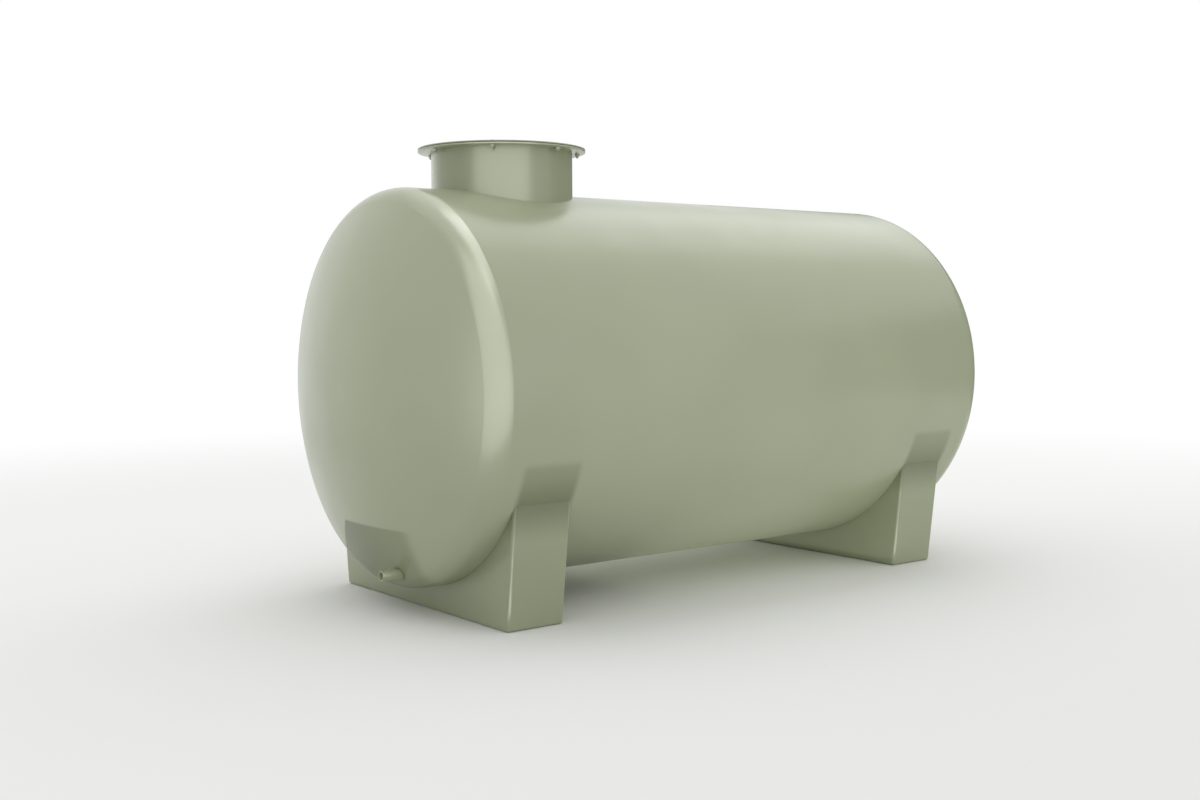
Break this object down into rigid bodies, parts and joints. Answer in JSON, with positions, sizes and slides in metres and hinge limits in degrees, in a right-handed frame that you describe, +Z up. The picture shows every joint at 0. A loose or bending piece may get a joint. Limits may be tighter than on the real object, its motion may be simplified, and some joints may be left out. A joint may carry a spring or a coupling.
{
  "type": "underground storage tank",
  "caption": "Horizontal cylindrical storage tank with dished ends, a raised bolted manhole, moulded saddle feet and a low drain stub, for holding liquids in bulk.",
  "frame": {"origin": "on the ground under the middle of the tank", "axes": "+X along the tank from the front end with the drain stub to the rear end, +Z up"},
  "size_m": [3.1516, 1.6, 1.899],
  "materials": {
    "gelcoat": "semi-gloss sage green gelcoat over glass-fibre laminate",
    "gasket": "black sheet rubber"
  },
  "bodies": {
    "root": {"shell_front_top": "gelcoat", "shell_front_upper_right": "gelcoat", "shell_front_lower_right": "gelcoat", "shell_front_bottom": "gelcoat", "shell_front_lower_left": "gelcoat", "shell_front_upper_left": "gelcoat", "shell_middle_top": "gelcoat", "shell_middle_upper_right": "gelcoat", "shell_middle_lower_right": "gelcoat", "shell_middle_bottom": "gelcoat", "shell_middle_lower_left": "gelcoat", "shell_middle_upper_left": "gelcoat", "shell_rear_top": "gelcoat", "shell_rear_upper_right": "gelcoat", "shell_rear_lower_right": "gelcoat", "shell_rear_bottom": "gelcoat", "shell_rear_lower_left": "gelcoat", "shell_rear_upper_left": "gelcoat", "front_end": "gelcoat", "rear_end": "gelcoat", "drain_stub": "gelcoat", "front_saddle": "gelcoat", "rear_saddle": "gelcoat", "manhole_neck": "gelcoat", "manhole_flange": "gelcoat", "manhole_cover": "gelcoat", "cover_gasket": "gasket"}
  },
  "joints": []
}
